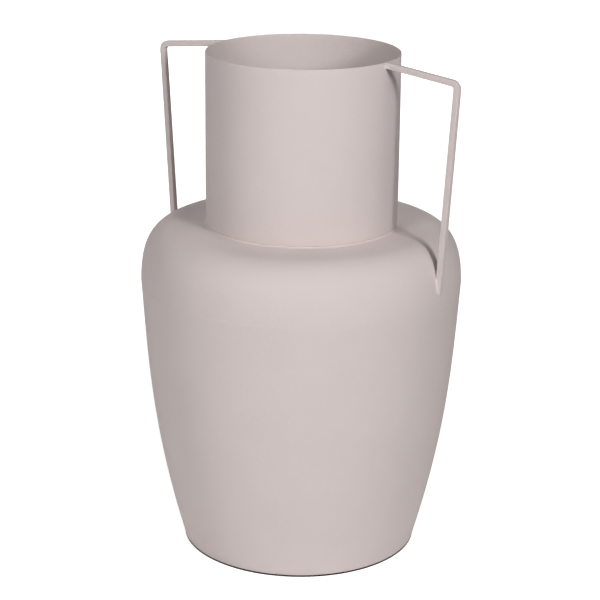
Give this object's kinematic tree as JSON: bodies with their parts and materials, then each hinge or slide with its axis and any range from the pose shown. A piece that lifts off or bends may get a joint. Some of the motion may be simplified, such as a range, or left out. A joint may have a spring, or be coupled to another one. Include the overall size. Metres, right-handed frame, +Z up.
{
  "type": "amphora vase",
  "caption": "Tall sheet-metal amphora vase with a spun tapering body, rounded shoulder, straight cylindrical neck and slim square-bar handles from rim to shoulder.",
  "frame": {"origin": "middle of the underside, on the surface that the vase stands on", "axes": "+Z up along the vase's axis, +X through one handle and -X through the other"},
  "size_m": [0.2844, 0.261, 0.41],
  "materials": {
    "powder_coat": "dusty pink-grey powder coat on sheet steel, matt with a very fine sandy texture",
    "weld_bead": "the same powder coat, over a softly rippled weld bead",
    "foam_pad": "matt black closed-cell foam rubber"
  },
  "bodies": {
    "root": {"body_wall": "powder_coat", "shoulder": "powder_coat", "neck_tube": "powder_coat", "base_plate": "powder_coat", "base_pad": "foam_pad", "seam_weld": "weld_bead", "base_weld": "weld_bead", "neck_weld": "weld_bead", "handle_right": "powder_coat", "handle_left": "powder_coat", "arm_weld_right": "weld_bead", "arm_weld_left": "weld_bead", "foot_weld_right": "weld_bead", "foot_weld_left": "weld_bead"}
  },
  "joints": []
}
